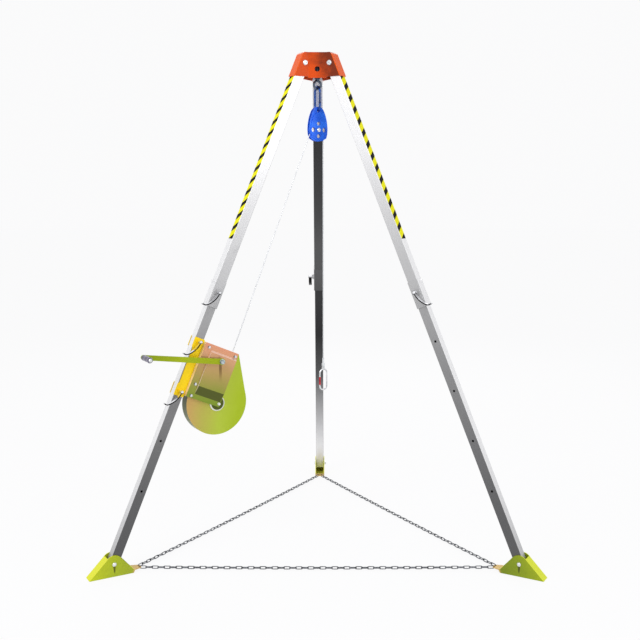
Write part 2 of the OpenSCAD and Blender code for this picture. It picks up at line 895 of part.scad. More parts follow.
// outline of the housing: a round drum case drawn up to the rope mouth
function tangent(p, c, r, s) = let (d = c - p, h = atan2(d[1], d[0]) + s * asin(r / norm(d)))
    p + sqrt(d * d - r * r) * [cos(h), sin(h)];
module teardrop(g, y0, y1) {
    r = housing_radius - g;
    p1 = corner + [g, -g];
    p3 = shoulder + [-g, 0];
    slab_y(y0, y1)
        polygon([
            p1, [p3[0], p1[1]], p3, tangent(p3, drum_c, r - 0.5, 1),
            drum_c + [20, -60], drum_c + [-60, -20], tangent(p1, drum_c, r - 0.5, -1)
        ]);
    translate([drum_c[0], 0, drum_c[1]])
        rod_y(2 * r, y0, y1);
}

module winch_plate() {
    color("darkkhaki")
        at_winch()
            difference() {
                teardrop(0, front_y - housing_wall, front_y);
                translate([drum_c[0], 0, drum_c[1]])
                    rod_y(20.04, 0, 40);
                translate([lay_c[0], 0, lay_c[1]])
                    rod_y(14.1, 0, 40);
                translate([crank_c[0], 0, crank_c[1]])
                    rod_y(12.1, 0, 40);
                translate([roller_c[0], 0, roller_c[1]])
                    rod_y(6, 0, 40);
            }
}

module drum_housing() {
    color("olivedrab")
        at_winch()
            difference() {
                teardrop(0, rear_y, front_y - housing_wall - 0.05);
                teardrop(housing_wall, rear_y + housing_wall, front_y);
                translate([drum_c[0], 0, drum_c[1]])
                    rod_y(20.04, -60, 0);
                translate([lay_c[0], 0, lay_c[1]])
                    rod_y(14.1, -60, 0);
                translate([roller_c[0], 0, roller_c[1]])
                    rod_y(6, -60, 0);
                translate([roller_c[0] - 12, -9, -22])
                    cube([44, 18, 60]);
            }
}

// folded cover over the gears: a box with a raised, bevelled panel
module cover_form(g) {
    x0 = cover_outer + g;
    x1 = cover_inner - g;
    z0 = cover_base + g;
    z1 = cover_top - g;
    slab_y(front_y - 1 + (g > 0 ? 0 : 1), cover_y - g)
        polygon([[x0, z0], [x1, z0], [x1, z1], [x0, z1]]);
    translate([x0 + 4, 0, 0])
        rotate([90, 0, 90])
            linear_extrude(x1 - x0 - 4 - cover_side)
                polygon([
                    [cover_y - g - 1, z1 - cover_head], [cover_y - g, z1 - cover_head],
                    [panel_y - g, z1 - cover_head - 8],
                    [panel_y - g, z0 + 62 - g], [cover_y - g, z0 + 22], [cover_y - g - 1, z0 + 22]
                ]);
}

bolt_column = cover_inner - 22;
bolt_row = cover_top - 17;
bolt_at = [[bolt_column, bolt_row], [cover_outer + 13, bolt_row],
    [bolt_column, cover_base + 64], [bolt_column, cover_base + 10]];
module gearbox_cover() {
    color("rosybrown")
        at_winch()
            difference() {
                cover_form(0);
                cover_form(2.5);
                translate([crank_c[0], 0, crank_c[1]])
                    rod_y(14.1, 0, panel_y + 20);
                translate([drum_c[0], 0, drum_c[1]])
                    rod_y(74, 0, front_y + 8.5);
                translate([drum_c[0], 0, drum_c[1]])
                    rod_y(8.1, 0, panel_y + 20);
                for (p = bolt_at)
                    translate([p[0], 0, p[1]])
                        rod_y(6, 30, 60);
            }
}

module cover_bolts() {
    color("silver")
        at_winch()
            for (p = bolt_at)
                translate([p[0], 0, p[1]])
                    difference() {
                        union() {
                            rod_y(6, cover_y - 9, cover_y + 1);
                            rod_y(13, cover_y, cover_y + 1.2);
                            hexagon_y(10, cover_y + 1, cover_y + 6);
                        }
                        rod_y(5, cover_y + 5, cover_y + 8);
                    }
}

module drum_shaft() {
    e = front_y + 8;
    color("whitesmoke")
        at_winch(drum_c) {
            rod_y(20, rear_y - 6, e);
            turned_y()
                polygon([[0, front_y], [36, front_y], [36, e - 3], [33, e], [0, e]]);
            hexagon_y(30, rear_y - 10, rear_y);
            rod_y(8, e - 1, cover_y + 10);
            rod_y(13, cover_y + 0.05, cover_y + 1.5);
            hexagon_y(11, cover_y + 1.4, cover_y + 8);
        }
}

module drum() {
    color("darkolivegreen")
        at_winch(drum_c)
            difference() {
                union() {
                    rod_y(2 * flange_r, drum_rear, drum_rear + 2);
                    rod_y(2 * (drum_rope_radius - rope_r - 0.7), drum_rear, gear_y);
                    rod_y(2 * flange_r - 24, gear_y - 2, gear_y);
                }
                rod_y(20.12, -80, 40);
            }
}

drum_to_lay = atan2(lay_c[1] - drum_c[1], lay_c[0] - drum_c[0]);
lay_to_crank = atan2(crank_c[1] - lay_c[1], crank_c[0] - lay_c[0]);
module drum_gear() {
    color("goldenrod")
        at_winch(drum_c)
            difference() {
                slab_y(gear_y + 0.05, gear_y + 8)
                    gear_outline(drum_teeth, drum_to_lay);
                rod_y(20.12, -10, 40);
                for (k = [0:5])
                    rotate([0, 60 * k + 30, 0])
                        translate([52, 0, 0])
                            rod_y(26, 0, 40);
            }
}

// outer layer of rope on the drum, one tube wound from the tangent point
wind_y = drum_rear + 2 + rope_r + 0.5;
wind_pitch = -wind_y / drum_turns;
wind_rings = 24 * drum_turns;
wind_points = [
    for (k = [0:wind_rings])
        let (t = k / 24, a = tail_h - 90 + 360 * t,
            c = [drum_p[0] + drum_rope_radius * cos(a), -wind_pitch * t,
                 drum_p[1] + drum_rope_radius * sin(a)],
            u = [cos(a), 0, sin(a)])
            for (m = [0:5])
                c + rope_r * (cos(60 * m) * u + sin(60 * m) * [0, 1, 0])
];
echo("least gap between rope turns", wind_pitch - rope_size);
module rope_winding() {
    last = 6 * wind_rings;
    faces = concat(
        [for (k = [0:wind_rings - 1]) for (m = [0:5])
            let (a = 6 * k + m, b = 6 * k + (m + 1) % 6) each [[a, b, a + 6], [b, b + 6, a + 6]]],
        [for (m = [1:4]) [0, m + 1, m]],
        [for (m = [1:4]) [last, last + m, last + m + 1]]);
    color("lightgray")
        at_hang(0)
            polyhedron(wind_points, faces);
}

module layshaft() {
    color("darkgray")
        at_winch(lay_c) {
            rod_y(14, rear_y + 0.5, cover_y - 4);
            slab_y(gear_y + 1, gear_y + 8.5)
                gear_outline(lay_pinion_teeth, drum_to_lay + 180 + 180 / lay_pinion_teeth);
            slab_y(30, 40)
                gear_outline(lay_teeth, lay_to_crank);
        }
}

module crank_shaft() {
    color("darkgray")
        at_winch(crank_c) {
            rod_y(12, front_y - housing_wall - 4, 30);
            rod_y(14, 29, arm_y + 10);
            slab_y(29.5, 40.5)
                gear_outline(crank_teeth, lay_to_crank + 180 + 180 / crank_teeth);
            rod_y(20, panel_y + 0.5, arm_y);
        }
}

// crank arm stands nearly level, pointing outwards past the leg
module at_crank() {
    at_winch(crank_c)
        rotate([0, leg_tilt - 7.8, 0])
            children();
}

module crank_arm() {
    w = crank_width;
    color("olive")
        at_crank()
            difference() {
                union() {
                    rod_y(w + 8, arm_y, arm_y + 8);
                    translate([crank_length, 0, 0])
                        rod_y(w, arm_y, arm_y + 8);
                    slab_y(arm_y, arm_y + 8)
                        polygon([
                            [0, -w / 2 - 2], [crank_length, -w / 2],
                            [crank_length, w / 2], [0, w / 2 + 2]
                        ]);
                }
                rod_y(14.04, 0, 100);
                translate([crank_length, 0, 0])
                    rod_y(10.04, 0, 100);
            }
}

module crank_nut() {
    color("lightsteelblue")
        at_crank() {
            difference() {
                union() {
                    rod_y(24, arm_y + 8.05, arm_y + 10);
                    hexagon_y(19, arm_y + 10, arm_y + 19);
                }
                rod_y(14.04, 0, arm_y + 15);
            }
        }
}

module grip_spindle() {
    y = arm_y + 8;
    color("silver")
        at_crank()
            translate([crank_length, 0, 0]) {
                rod_y(10, arm_y - 2, y + grip_length + 3);
                rod_y(16, arm_y - 5, arm_y - 0.05);
                rod_y(16, y + 0.05, y + 2);
                turned_y()
                    polygon([
                        [0, y + grip_length + 3], [8, y + grip_length + 3],
                        [8, y + grip_length + 5], [5, y + grip_length + 8],
                        [0, y + grip_length + 8]
                    ]);
            }
}

module crank_grip() {
    y = arm_y + 10.3;
    r = grip_size / 2;
    color("dimgray")
        at_crank()
            translate([crank_length, 0, 0])
                difference() {
                    turned_y()
                        polygon([
                            [0, y], [r - 2, y], [r, y + 3], [r - 1.5, y + 14], [r, y + grip_length / 2],
                            [r - 1.5, y + grip_length - 15], [r, y + grip_length - 4],
                            [r - 2, y + grip_length], [0, y + grip_length]
                        ]);
                    rod_y(10.12, 0, 300);
                }
}

module guide_roller() {
    color("tan")
        at_winch(roller_c)
            difference() {
                turned_y()
                    polygon([
                        [0, -8], [roller_r + 2.5, -8], [roller_r + 2.5, -6.5], [roller_r, -2.6],
                        [roller_r, 2.6], [roller_r + 2.5, 6.5], [roller_r + 2.5, 8], [0, 8]
                    ]);
                rod_y(6.1, -20, 20);
            }
}

module guide_pin() {
    color("silver")
        at_winch(roller_c) {
            rod_y(6, rear_y - 1, front_y);
            rod_y(10, rear_y - 4, rear_y);
        }
}

module winch_pin(z) {
    color("gainsboro")
        at_winch()
            translate([0, 0, z])
                pull_pin(half_low - lower_wall - 6, half_low + cheek_plate + 10.4);
}

head_shell();
hinge_bolts();
anchor_eye();
carabiner_body();
carabiner_gate();
pulley_front();
pulley_rear();
pulley_axle();
sheave();
rope_bend();
rope_lead();
rope_fall();
rope_socket();
hook_body();
hook_gate();
upper_tube(0);  // upper_tube_left
upper_tube(1);  // upper_tube_right
upper_tube(2);  // upper_tube_rear
collar(0);  // collar_left
collar(1);  // collar_right
collar(2);  // collar_rear
lock_pin(0);  // lock_pin_left
lock_pin(1);  // lock_pin_right
lock_pin(2);  // lock_pin_rear
lower_tube(0);  // lower_tube_left
lower_tube(1);  // lower_tube_right
lower_tube(2);  // lower_tube_rear
foot_pin(0);  // foot_pin_left
foot_pin(1);  // foot_pin_right
foot_pin(2);  // foot_pin_rear
foot(0);  // foot_left
foot(1);  // foot_right
foot(2);  // foot_rear
chain_half(0, 1, 1, -1);  // chain_left_front
chain_half(1, 0, -1, 1);  // chain_right_front
chain_half(1, 2, 1, -1);  // chain_right_rear
chain_half(2, 1, -1, 1);  // chain_rear_right
chain_half(2, 0, 1, -1);  // chain_rear_left
chain_half(0, 2, -1, 1);  // chain_left_rear
winch_bracket();
winch_plate();
drum_housing();
gearbox_cover();
cover_bolts();
drum_shaft();
drum();
drum_gear();
rope_winding();
layshaft();
crank_shaft();
crank_arm();
crank_nut();
grip_spindle();
crank_grip();
guide_roller();
guide_pin();
winch_pin(0);  // winch_pin_upper
winch_pin(-hole_pitch);  // winch_pin_lower
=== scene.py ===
import math

import bpy
import numpy as np
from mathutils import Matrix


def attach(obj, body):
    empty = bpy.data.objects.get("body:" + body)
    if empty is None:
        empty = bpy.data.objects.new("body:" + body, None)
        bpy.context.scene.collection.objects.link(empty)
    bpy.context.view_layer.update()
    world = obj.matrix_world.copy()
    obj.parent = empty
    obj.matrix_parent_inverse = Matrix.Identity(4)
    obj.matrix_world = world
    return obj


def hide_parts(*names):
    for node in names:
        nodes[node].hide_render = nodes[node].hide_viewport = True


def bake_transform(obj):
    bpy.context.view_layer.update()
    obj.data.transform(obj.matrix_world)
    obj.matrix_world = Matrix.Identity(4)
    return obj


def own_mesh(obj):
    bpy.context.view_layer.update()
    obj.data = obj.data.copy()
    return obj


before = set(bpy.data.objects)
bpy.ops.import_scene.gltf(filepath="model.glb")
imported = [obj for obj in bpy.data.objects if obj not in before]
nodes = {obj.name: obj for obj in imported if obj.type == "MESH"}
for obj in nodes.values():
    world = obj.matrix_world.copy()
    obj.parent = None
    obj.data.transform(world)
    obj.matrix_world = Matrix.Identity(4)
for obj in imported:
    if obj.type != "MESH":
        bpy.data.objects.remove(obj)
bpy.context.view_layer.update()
print("frame loaded:", len(nodes), "nodes")

# camera at the photograph's viewing angle, image taken as 640 x 640
cameraFacts = {"place": (0.051, -4.5, 1.663), "pitch": 82.4, "shift": -0.0131, "lens": 53.2,
               "sensor": 36.0, "reach": 200}
cameraData = bpy.data.cameras.new("camera")
cameraData.lens = cameraFacts["lens"]
cameraData.sensor_width = cameraFacts["sensor"]
cameraData.shift_x = cameraFacts["shift"]
cameraData.clip_end = cameraFacts["reach"]
camera = bpy.data.objects.new("camera", cameraData)
camera.location = cameraFacts["place"]
camera.rotation_euler = (math.radians(cameraFacts["pitch"]), 0, 0)
bpy.context.scene.collection.objects.link(camera)
bpy.context.scene.camera = camera
print("camera placed")

# sizes of the solids that the pieces follow, in metres
leg = {"tilt": math.radians(23.5), "length": 2.4, "pivotRadius": 0.08, "footPinZ": 0.056,
       "winchAt": 1.36}
sinTilt, cosTilt = math.sin(leg["tilt"]), math.cos(leg["tilt"])
leg["pivotZ"] = leg["footPinZ"] + leg["length"] * cosTilt
leg["footRadius"] = leg["pivotRadius"] + leg["length"] * sinTilt
azimuth = {"left": math.radians(210), "right": math.radians(330), "rear": math.radians(90)}
compass = {name: (math.cos(a), math.sin(a)) for name, a in azimuth.items()}


def feed(tree, sockets, values):
    for key, value in values.items():
        if isinstance(value, Wire):
            tree.links.new(value.socket, sockets[key])
        else:
            sockets[key].default_value = value


class Wire:
    def __init__(self, tree, socket):
        self.tree = tree
        self.socket = socket

    def node(self, kind, inputs, output=0, **settings):
        made = self.tree.nodes.new(kind)
        for key, value in settings.items():
            setattr(made, key, value)
        feed(self.tree, made.inputs, inputs)
        return Wire(self.tree, made.outputs[output])

    def maths(self, operation, other=0.0):
        return self.node("ShaderNodeMath", {0: self, 1: other}, operation=operation)

    def __add__(self, other):
        return self.maths("ADD", other)

    def __sub__(self, other):
        return self.maths("SUBTRACT", other)

    def __mul__(self, other):
        return self.maths("MULTIPLY", other)

    def __truediv__(self, other):
        return self.maths("DIVIDE", other)

    def __pow__(self, other):
        return self.maths("POWER", other)

    def __neg__(self):
        return self * -1.0

    def __rsub__(self, other):
        return -self + other

    def __abs__(self):
        return self.maths("ABSOLUTE")


# screen value to linear light: ((c / 255 + 0.055) / 1.055) ^ 2.4, straight near black
def srgb(r, g, b):
    return [((c / 255 + 0.055) / 1.055) ** 2.4 if c > 10 else c / 3295 for c in (r, g, b)]


def tint(r, g, b):
    return (*srgb(r, g, b), 1.0)


def colourMix(share, first, second):
    return share.node("ShaderNodeMix", {0: share, 6: first, 7: second}, 2, data_type="RGBA")


def twoTone(share, first, second):
    return colourMix(share, tint(*first), tint(*second))


def grade(wire, low, high):
    inputs = {0: wire, 1: low, 2: high, 3: 0.0, 4: 1.0}
    return wire.node("ShaderNodeMapRange", inputs, interpolation_type="SMOOTHSTEP")


def ramp(wire, stops):
    made = wire.node("ShaderNodeValToRGB", {0: wire})
    elements = made.socket.node.color_ramp.elements
    while len(elements) < len(stops):
        elements.new(0.5)
    for element, (place, colour) in zip(elements, stops):
        element.position = place
        element.color = tint(*colour)
    return made


def grain(place, scale, detail=3.0, roughness=0.55):
    inputs = {"Vector": place, "Scale": scale, "Detail": detail, "Roughness": roughness}
    return place.node("ShaderNodeTexNoise", inputs)


def cloudsIn(place, scale):
    return grain(place, scale, detail=4.0)


def streaksIn(place, scale, turn=(0, 0, 0), detail=3.0):
    inputs = {"Vector": place, "Rotation": turn, "Scale": scale}
    return grain(place.node("ShaderNodeMapping", inputs), 1.0, detail)


# depths of relief in metres: fine scratches, films of zinc, wires of the rope
relief = {"fine": 0.0004, "film": 0.0005, "wire": 0.0003}


def bumpOf(height, strength, kind="fine"):
    inputs = {"Height": height, "Strength": strength, "Distance": relief[kind]}
    return height.node("ShaderNodeBump", inputs)


def finish(name, recipe):
    material = bpy.data.materials.new(name)
    material.use_nodes = True
    tree = material.node_tree
    place = Wire(tree, tree.nodes.new("ShaderNodeTexCoord").outputs["Object"])
    feed(tree, tree.nodes["Principled BSDF"].inputs, recipe(place))
    return material


def axesOf(vector):
    parts = vector.node("ShaderNodeSeparateXYZ", {0: vector}).socket.node.outputs
    return [Wire(vector.tree, parts[k]) for k in range(3)]


def faceNormal(place):
    return Wire(place.tree, place.tree.nodes.new("ShaderNodeTexCoord").outputs["Normal"])


# a vector turned to a leg: towards it, across it, up
def facing(vector, name):
    x, y, z = axesOf(vector)
    ca, sa = compass[name]
    return x * ca + y * sa, y * ca - x * sa, z


# leg coordinates of a point, with pivot at radius R and height Z:
# down = (r - R) sin t - (z - Z) cos t, out = (r - R) cos t + (z - Z) sin t
def legAxes(place, name):
    r, across, z = facing(place, name)
    r = r - leg["pivotRadius"]
    h = z - leg["pivotZ"]
    return r * sinTilt - h * cosTilt, r * cosTilt + h * sinTilt, across


# a face's direction in leg axes: up the leg, out from it, across it
def legNormal(place, name):
    r, across, z = facing(faceNormal(place), name)
    return z * cosTilt - r * sinTilt, r * cosTilt + z * sinTilt, across


# the winch's own axes: out from its leg, and up the leg from the winch's place
def winchAxes(place):
    down, out = legAxes(place, "left")[:2]
    return out, -(down - leg["winchAt"])


# plain metal: one colour drifting to another in soft clouds, fine streaks in the roughness
metal = {"cloudy": (0.3, 0.7), "cloudShare": 0.8, "streakShare": 0.2, "specular": 0.5, "coat": 0.0,
         "coatRough": 0.1, "cloudRelief": 0.4}


def metalRecipe(facts):
    facts = {**metal, **facts}

    def recipe(place):
        clouds = cloudsIn(place, facts["cloud"])
        streaks = streaksIn(place, facts["streak"], detail=2.0)
        shade = (grade(clouds, *facts["cloudy"]) * facts["cloudShare"]
                 + streaks * facts["streakShare"])
        return {
            "Base Color": twoTone(shade, facts["first"], facts["second"]),
            "Metallic": facts["metallic"],
            "Roughness": streaks * facts["spread"] + facts["smooth"],
            "Specular IOR Level": facts["specular"],
            "Coat Weight": facts["coat"],
            "Coat Roughness": facts["coatRough"],
            "Normal": bumpOf(streaks + clouds * facts["cloudRelief"], facts["bump"]),
        }
    return recipe


plainMetals = {
    "boltSteel": {"first": (236, 238, 240), "second": (205, 208, 212), "cloud": 60.0,
                  "streak": (900, 900, 120), "metallic": 0.75, "smooth": 0.16, "spread": 0.2,
                  "bump": 0.05},
    "eyeSteel": {"first": (74, 84, 100), "second": (120, 130, 142), "cloud": 45.0,
                 "streak": (500, 500, 80), "metallic": 0.9, "smooth": 0.24, "spread": 0.2,
                 "bump": 0.08},
    "carabinerSteel": {"first": (28, 62, 128), "second": (60, 100, 176), "cloud": 40.0,
                       "streak": (600, 600, 40), "metallic": 0.85, "smooth": 0.18,
                       "spread": 0.18, "bump": 0.05},
    "gateSteel": {"first": (20, 36, 74), "second": (58, 84, 140), "cloud": 40.0,
                  "streak": (600, 600, 40), "metallic": 0.85, "smooth": 0.16,
                  "spread": 0.16, "bump": 0.05},
    "sheaveAlloy": {"first": (228, 226, 222), "second": (190, 182, 172), "cloud": 50.0,
                    "streak": (200, 900, 200), "metallic": 0.9, "smooth": 0.2, "spread": 0.2,
                    "bump": 0.08},
    "hookSteel": {"first": (236, 237, 238), "second": (186, 188, 192), "cloud": 60.0,
                  "streak": (400, 400, 90), "metallic": 0.7, "smooth": 0.16, "spread": 0.16,
                  "bump": 0.06},
    "nutSteel": {"first": (206, 214, 216), "second": (116, 128, 138), "cloud": 90.0,
                 "streak": (600, 600, 600), "metallic": 0.85, "smooth": 0.2, "spread": 0.2,
                 "bump": 0.05},
    "gripChrome": {"first": (126, 120, 142), "second": (84, 80, 100), "cloud": 40.0,
                   "streak": (300, 900, 300), "metallic": 0.9, "smooth": 0.14, "spread": 0.14,
                   "bump": 0.05},
    "chainSteel": {"first": (132, 134, 140), "second": (66, 68, 72), "cloud": 40.0,
                   "streak": (400, 400, 400), "metallic": 0.85, "smooth": 0.3, "spread": 0.25,
                   "bump": 0.1},
    "gearSteel": {"first": (150, 150, 150), "second": (96, 96, 98), "cloud": 50.0,
                  "streak": (600, 200, 600), "metallic": 0.9, "smooth": 0.28, "spread": 0.2,
                  "bump": 0.08},
    "gateRed": {"first": (214, 22, 44), "second": (150, 8, 26), "cloud": 60.0,
                "streak": (300, 300, 300), "metallic": 0.1, "smooth": 0.22, "spread": 0.12,
                "bump": 0.05, "coat": 0.1, "specular": 0.3},
    "pulleyBlue": {"first": (44, 122, 250), "second": (22, 84, 214), "cloud": 26.0,
                   "streak": (260, 260, 60), "metallic": 0.3, "smooth": 0.22, "spread": 0.14,
                   "bump": 0.06, "coat": 0.08, "specular": 0.3},
    "rollerNylon": {"first": (214, 198, 160), "second": (182, 160, 120), "cloud": 50.0,
                    "streak": (300, 600, 300), "metallic": 0.0, "smooth": 0.45, "spread": 0.2,
                    "bump": 0.08},
}
materials = {name: finish(name, metalRecipe(facts)) for name, facts in plainMetals.items()}
print("plain metals made:", len(materials))

# bright pressing: white, with painted shade near black where the strip faces down and along its
# edge faces
handle = {"lockEdge": 0.054, "winchEdge": 0.052, "edge": (-0.0006, -0.0003), "under": (0.05, 0.45),
          "bright": ((246, 246, 248), (218, 220, 226)), "paintedShade": (12, 12, 14), "grain": 300.0,
          "metallic": 0.9, "smooth": 0.08, "spread": 0.08, "bump": 0.02}


def handleRecipe(name, edgeAt):
    def recipe(place):
        across = legAxes(place, name)[2]
        up = axesOf(faceNormal(place))[2]
        # painted shade: near black on the strip's edge faces and on faces that look down
        edge = grade(-abs(abs(across) - edgeAt), *handle["edge"])
        paintedShade = edge.maths("MAXIMUM", grade(-up, *handle["under"]))
        fine = grain(place, handle["grain"], detail=2.0)
        return {
            "Base Color": colourMix(paintedShade, twoTone(fine, *handle["bright"]), tint(*handle["paintedShade"])),
            "Metallic": handle["metallic"],
            "Roughness": fine * handle["spread"] + handle["smooth"],
            "Normal": bumpOf(fine, handle["bump"]),
        }
    return recipe


for name in azimuth:
    label = f"lockHandle.{name}"
    materials[label] = finish(label, handleRecipe(name, handle["lockEdge"]))
materials["winchHandle"] = finish("winchHandle", handleRecipe("left", handle["winchEdge"]))

# powder paint, one orange: painted highlight on the folded outer flanges, painted shade browning
# the wide faces to the right and up
head = {"flangeOut": (0.0235, 0.0242), "flangeDown": (-0.06, -0.05), "cloud": 18.0, "peel": 900.0,
        "middleZ": 2.25, "rightward": 7.0, "upward": 4.0, "paintedShadeSpan": (0.25, 0.9),
        "wide": ((222, 78, 6), (122, 40, 2)), "litFlange": (242, 94, 8), "smooth": 0.28,
        "spread": 0.2, "specular": 0.2, "coat": 0.06, "coatRough": 0.18, "bump": 0.12}


def headRecipe(place):
    litFlange = None
    for name in azimuth:
        down, out = legAxes(place, name)[:2]
        here = grade(out, *head["flangeOut"]) * grade(down, *head["flangeDown"])
        litFlange = here if litFlange is None else litFlange.maths("MAXIMUM", here)
    x, z = axesOf(place)[::2]
    clouds = cloudsIn(place, head["cloud"])
    peel = grain(place, head["peel"], detail=1.0)
    # painted shade: the wide faces turn browner to the right and up, over random clouds
    drift = clouds + x * head["rightward"] + (z - head["middleZ"]) * head["upward"]
    wide = twoTone(grade(drift, *head["paintedShadeSpan"]), *head["wide"])
    return {
        "Base Color": colourMix(litFlange, wide, tint(*head["litFlange"])),
        "Roughness": clouds * head["spread"] + head["smooth"],
        "Specular IOR Level": head["specular"],
        "Coat Weight": head["coat"],
        "Coat Roughness": head["coatRough"],
        "Normal": bumpOf(peel, head["bump"]),
    }


materials["headPaint"] = finish("headPaint", headRecipe)

# hazard tape on the outer face: black where fract((down + lean across) / pitch) < share
tape = {"from": 0.060, "to": 0.877, "half": 0.0215, "pitch": 0.0575, "share": 0.44, "lean": 0.62,
        "face": (0.0233, 0.0236), "endBlend": 0.002, "sideBlend": 0.0004, "bandBlend": 0.01,
        "cloud": 40.0, "yellow": ((255, 253, 36), (246, 238, 18)), "black": (8, 8, 9),
        "rough": 0.12}
# painted light and shade: greys along each face of the tubes, at distances down the leg, lit and
# shaded copies of one metal
tubeFacts = {
    "upper": {"half": 0.024,
              "side": [(0.0, 250), (0.38, 244), (0.57, 227), (0.76, 212), (0.97, 196), (1.2, 186)],
              "outer": [(0.0, 250), (1.2, 247)],
              "inner": [(0.0, 226), (0.24, 214), (0.34, 54), (0.57, 64), (0.76, 76), (0.93, 92),
                        (1.2, 92)]},
    "lower": {"half": 0.0216,
              "side": [(0.95, 172), (1.24, 166), (1.5, 145), (1.85, 120), (2.09, 104), (2.4, 94)],
              "outer": [(1.0, 249), (1.85, 242), (2.09, 228), (2.4, 190)],
              "inner": [(1.1, 62), (1.3, 56), (1.48, 46), (1.75, 92), (2.05, 196), (2.25, 248)]},
    "collar": {"half": 0.026,
               "side": [(1.0, 196), (1.25, 176)],
               "outer": [(1.0, 248), (1.25, 240)],
               "inner": [(1.0, 104), (1.25, 84)]},
}
tube = {"reach": 2.45, "fine": 700.0, "long": 5.0, "scuff": 14.0, "scuffed": (0.56, 0.72),
        "rim": 0.0009, "rimBlend": 0.0006, "stain": (120, 121, 124), "streakStain": 0.1,
        "scuffStain": 0.06, "streakRough": 0.25, "scuffRough": 0.12, "smooth": 0.26,
        "metallic": 0.5, "specular": 0.05, "bump": 0.03, "innerShade": 0.8}


def tapeShare(down, out, across):
    ends = (grade(down, tape["from"], tape["from"] + tape["endBlend"])
            * grade(-down, -tape["to"], tape["endBlend"] - tape["to"]))
    sides = grade(-abs(across), -tape["half"], tape["sideBlend"] - tape["half"])
    return grade(out, *tape["face"]) * ends * sides


# drawn tube: streaks along the leg, each face with its own painted light and shade falling in tone
# towards the foot
def tubeRecipe(name, facts, taped):
    def recipe(place):
        down, out, across = legAxes(place, name)
        along = place.node("ShaderNodeCombineXYZ", {
            0: across * tube["fine"], 1: out * tube["fine"], 2: down * tube["long"]})
        streaks = grain(along, 1.0)
        scuffs = grain(place, tube["scuff"], detail=5.0, roughness=0.7)
        scuffs = grade(scuffs, *tube["scuffed"])
        # painted light and shade: one grey ramp for each face, down the leg
        paintedLightTone = {face: ramp(down / tube["reach"],
                           [(at / tube["reach"], (v, v, v + 1)) for at, v in facts[face]])
                for face in ("side", "outer", "inner")}
        rim = facts["half"] - tube["rim"]
        colour = colourMix(grade(out, rim, rim + tube["rimBlend"]), paintedLightTone["side"], paintedLightTone["outer"])
        colour = colourMix(grade(-out, rim, rim + tube["rimBlend"]), colour, paintedLightTone["inner"])
        stained = streaks * tube["streakStain"] + scuffs * tube["scuffStain"]
        colour = colourMix(stained, colour, tint(*tube["stain"]))
        rough = streaks * tube["streakRough"] + scuffs * tube["scuffRough"] + tube["smooth"]
        metallic = tube["metallic"]
        if taped:
            onTape = tapeShare(down, out, across)
            slant = (down + across * tape["lean"]) / tape["pitch"]
            pale = grade(slant.maths("FRACT"), tape["share"] - tape["bandBlend"],
                         tape["share"] + tape["bandBlend"])
            yellow = twoTone(cloudsIn(place, tape["cloud"]), *tape["yellow"])
            colour = colourMix(onTape, colour, colourMix(pale, tint(*tape["black"]), yellow))
            rough = rough + onTape * tape["rough"]
            metallic = tube["metallic"] - onTape * tube["metallic"]
        return {"Base Color": colour, "Roughness": rough, "Metallic": metallic,
                "Specular IOR Level": tube["specular"], "Normal": bumpOf(streaks, tube["bump"])}
    return recipe


# painted shade: the rear leg's inner face has painted tones of its own, and the others' is a
# painted shaded copy of a side
for name in azimuth:
    for kind, facts in tubeFacts.items():
        label = kind + ("." if kind == "collar" else "Tube.") + name
        shaded = [(at, tube["innerShade"] * v) for at, v in facts["side"]]
        tones = facts if name == "rear" else dict(facts, inner=shaded)
        materials[label] = finish(label, tubeRecipe(name, tones, kind == "upper"))
print("legs painted")

# yellow passivated zinc: a thin film whose tint drifts with place, read in the winch's own axes
zinc = {"sheen": {"Specular IOR Level": 0.3, "Coat Weight": 0.06, "Coat Roughness": 0.12},
        "turn": (0, 0.41, 0), "drift": 0.22, "stained": 0.16, "spread": 0.18, "filmRelief": 0.5,
        "bump": 0.05}


def zincRecipe(facts):
    def recipe(place):
        out, up = winchAxes(place)
        drift = out * facts["out"] + up * facts["up"] + facts["shift"]
        film = cloudsIn(place, facts["cloud"])
        fine = streaksIn(place, facts["streak"], zinc["turn"])
        colour = ramp(drift + film * zinc["drift"] - zinc["drift"] / 2, facts["stops"])
        return {
            "Base Color": colourMix(fine * zinc["stained"], colour, tint(*facts["stain"])),
            "Metallic": facts["metallic"],
            "Roughness": fine * zinc["spread"] + facts["smooth"],
            "Normal": bumpOf(fine + film * zinc["filmRelief"], zinc["bump"], "film"),
            **zinc["sheen"],
        }
    return recipe


zincs = {
    "plateZinc": {"stops": [(0.0, (172, 196, 34)), (0.35, (184, 204, 66)), (0.7, (190, 184, 84)),
                            (1.0, (206, 168, 100))],
                  "out": 4.2, "up": -0.6, "shift": 1.14, "cloud": 9.0, "streak": (60, 60, 260),
                  "stain": (150, 140, 60), "metallic": 0.55, "smooth": 0.26},
    # the housing's ramp runs from yellow-green to near black as drift rises, towards the leg
    "housingZinc": {"stops": [(0.0, (160, 176, 30)), (0.5, (112, 128, 24)), (1.0, (34, 38, 10))],
                    "out": 4.2, "up": -0.4, "shift": 1.0, "cloud": 9.0, "streak": (60, 60, 260),
                    "stain": (90, 92, 30), "metallic": 0.6, "smooth": 0.26},
    "bracketZinc": {"stops": [(0.0, (255, 226, 20)), (0.5, (252, 216, 14)), (1.0, (232, 190, 8))],
                    "out": 6.0, "up": -0.5, "shift": 0.4, "cloud": 14.0, "streak": (90, 90, 300),
                    "stain": (230, 190, 40), "metallic": 0.4, "smooth": 0.26},
    "crankZinc": {"stops": [(0.0, (150, 166, 8)), (0.5, (166, 182, 14)), (1.0, (126, 146, 6))],
                  "out": 2.2, "up": 0.2, "shift": 0.4, "cloud": 16.0, "streak": (40, 90, 200),
                  "stain": (120, 134, 20), "metallic": 0.45, "smooth": 0.24},
}
for name, facts in zincs.items():
    materials[name] = finish(name, zincRecipe(facts))
